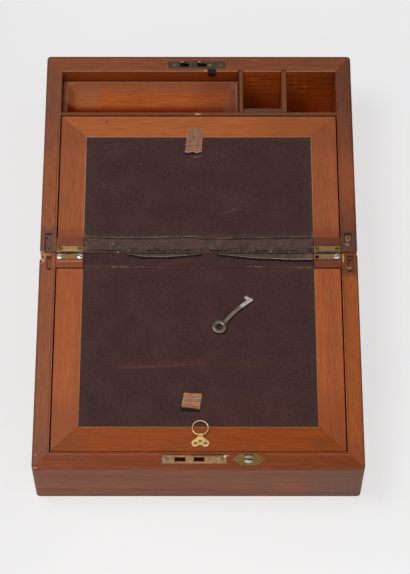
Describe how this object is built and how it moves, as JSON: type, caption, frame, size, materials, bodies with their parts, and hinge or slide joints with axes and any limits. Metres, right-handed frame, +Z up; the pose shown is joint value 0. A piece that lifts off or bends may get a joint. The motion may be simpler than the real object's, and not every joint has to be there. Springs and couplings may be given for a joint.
{
  "type": "writing box",
  "caption": "Hinged wooden writing box, shown open to its sloping leather-lined flaps, with pen tray, wells, brass hinges, hook lock, ring pull and loose key.",
  "frame": {"origin": "on the table, below the middle of the fold between the two halves", "axes": "+X along the fold to the writer's right, +Y away from the writer over the base half, +Z up"},
  "size_m": [0.305, 0.4426, 0.0873],
  "materials": {
    "case_mahogany": "waxed, worn at the edges",
    "flap_mahogany": "waxed",
    "inner_mahogany": "unpolished",
    "writing_leather": "matt, scuffed",
    "fold_leather": "worn and dusty",
    "brass": "worn",
    "dull_brass": "tarnished",
    "zinc_steel": "zinc plated",
    "black_iron": "blackened",
    "key_steel": "dull",
    "ribbon": "ribbed, frayed"
  },
  "bodies": {
    "base": {"base_far_wall": "case_mahogany", "base_left_wall": "case_mahogany", "base_right_wall": "case_mahogany", "base_hinge_wall": "case_mahogany", "base_floor": "inner_mahogany", "partition": "inner_mahogany", "divider_left": "inner_mahogany", "divider_right": "inner_mahogany", "well_ledge": "inner_mahogany", "pen_tray_rest_left": "inner_mahogany", "pen_tray_rest_right": "inner_mahogany", "upper_flap_ledge_left": "inner_mahogany", "upper_flap_ledge_right": "inner_mahogany", "base_fold_leather": "fold_leather", "lock_selvedge": "dull_brass", "lock_case": "black_iron", "lock_tab": "black_iron", "keyhole_escutcheon": "brass", "hinge_left_base_leaf": "brass", "hinge_right_base_leaf": "brass", "hinge_left_pin": "dull_brass", "hinge_right_pin": "dull_brass", "hinge_left_base_screw_outer": "dull_brass", "hinge_left_base_screw_inner": "dull_brass", "hinge_right_base_screw_outer": "dull_brass", "hinge_right_base_screw_inner": "dull_brass"},
    "lock_bolt": {"lock_bolt": "dull_brass"},
    "pen_tray": {"pen_tray": "inner_mahogany"},
    "upper_flap": {"upper_flap_far_rail": "flap_mahogany", "upper_flap_left_rail": "flap_mahogany", "upper_flap_right_rail": "flap_mahogany", "upper_flap_panel": "inner_mahogany", "upper_flap_leather": "writing_leather", "upper_ribbon_tab": "ribbon"},
    "lid": {"lid_near_wall": "case_mahogany", "lid_left_wall": "case_mahogany", "lid_right_wall": "case_mahogany", "lid_hinge_wall": "case_mahogany", "lid_panel": "inner_mahogany", "lower_flap_ledge_left": "inner_mahogany", "lower_flap_ledge_right": "inner_mahogany", "lid_fold_leather": "fold_leather", "hinge_left_lid_leaf": "brass", "hinge_right_lid_leaf": "brass", "hinge_left_lid_screw_outer": "zinc_steel", "hinge_left_lid_screw_inner": "zinc_steel", "hinge_right_lid_screw_outer": "zinc_steel", "lock_strike_plate": "brass", "lozenge_plate": "brass", "lozenge_screw": "zinc_steel"},
    "lower_flap": {"lower_flap_near_rail": "flap_mahogany", "lower_flap_left_rail": "flap_mahogany", "lower_flap_right_rail": "flap_mahogany", "lower_flap_panel": "inner_mahogany", "lower_flap_leather": "writing_leather", "lower_ribbon_tab": "ribbon", "ring_plate": "brass"},
    "pull_ring": {"pull_ring": "brass"},
    "key": {"key": "key_steel"}
  },
  "joints": [
    {"name": "lid_hinge", "type": "hinge", "parent": "base", "child": "lid", "pos_m": [0, 0, 0.074], "axis": [1, 0, 0], "range_deg": [-180, 0]},
    {"name": "upper_flap_hinge", "type": "hinge", "parent": "base", "child": "upper_flap", "pos_m": [0, 0.01603, 0.07252], "axis": [1, 0, 0], "range_deg": [0, 95]},
    {"name": "lower_flap_hinge", "type": "hinge", "parent": "lid", "child": "lower_flap", "pos_m": [0, -0.01626, 0.07127], "axis": [-1, 0, 0], "range_deg": [0, 95]},
    {"name": "pen_tray_lift", "type": "slide", "parent": "base", "child": "pen_tray", "axis": [0, 0, 1], "range_m": [0, 0.06]},
    {"name": "lock_bolt_slide", "type": "slide", "parent": "base", "child": "lock_bolt", "axis": [1, 0, 0], "range_m": [0, 0.0026]},
    {"name": "ring_hinge", "type": "hinge", "parent": "lower_flap", "child": "pull_ring", "pos_m": [0.0018, -0.1877, 0.06654], "axis": [1, 0, 0], "range_deg": [0, 150]},
    {"name": "key_lift", "type": "slide", "parent": "lower_flap", "child": "key", "axis": [0, -0.0386, 0.9993], "range_m": [0, 0.012]}
  ]
}
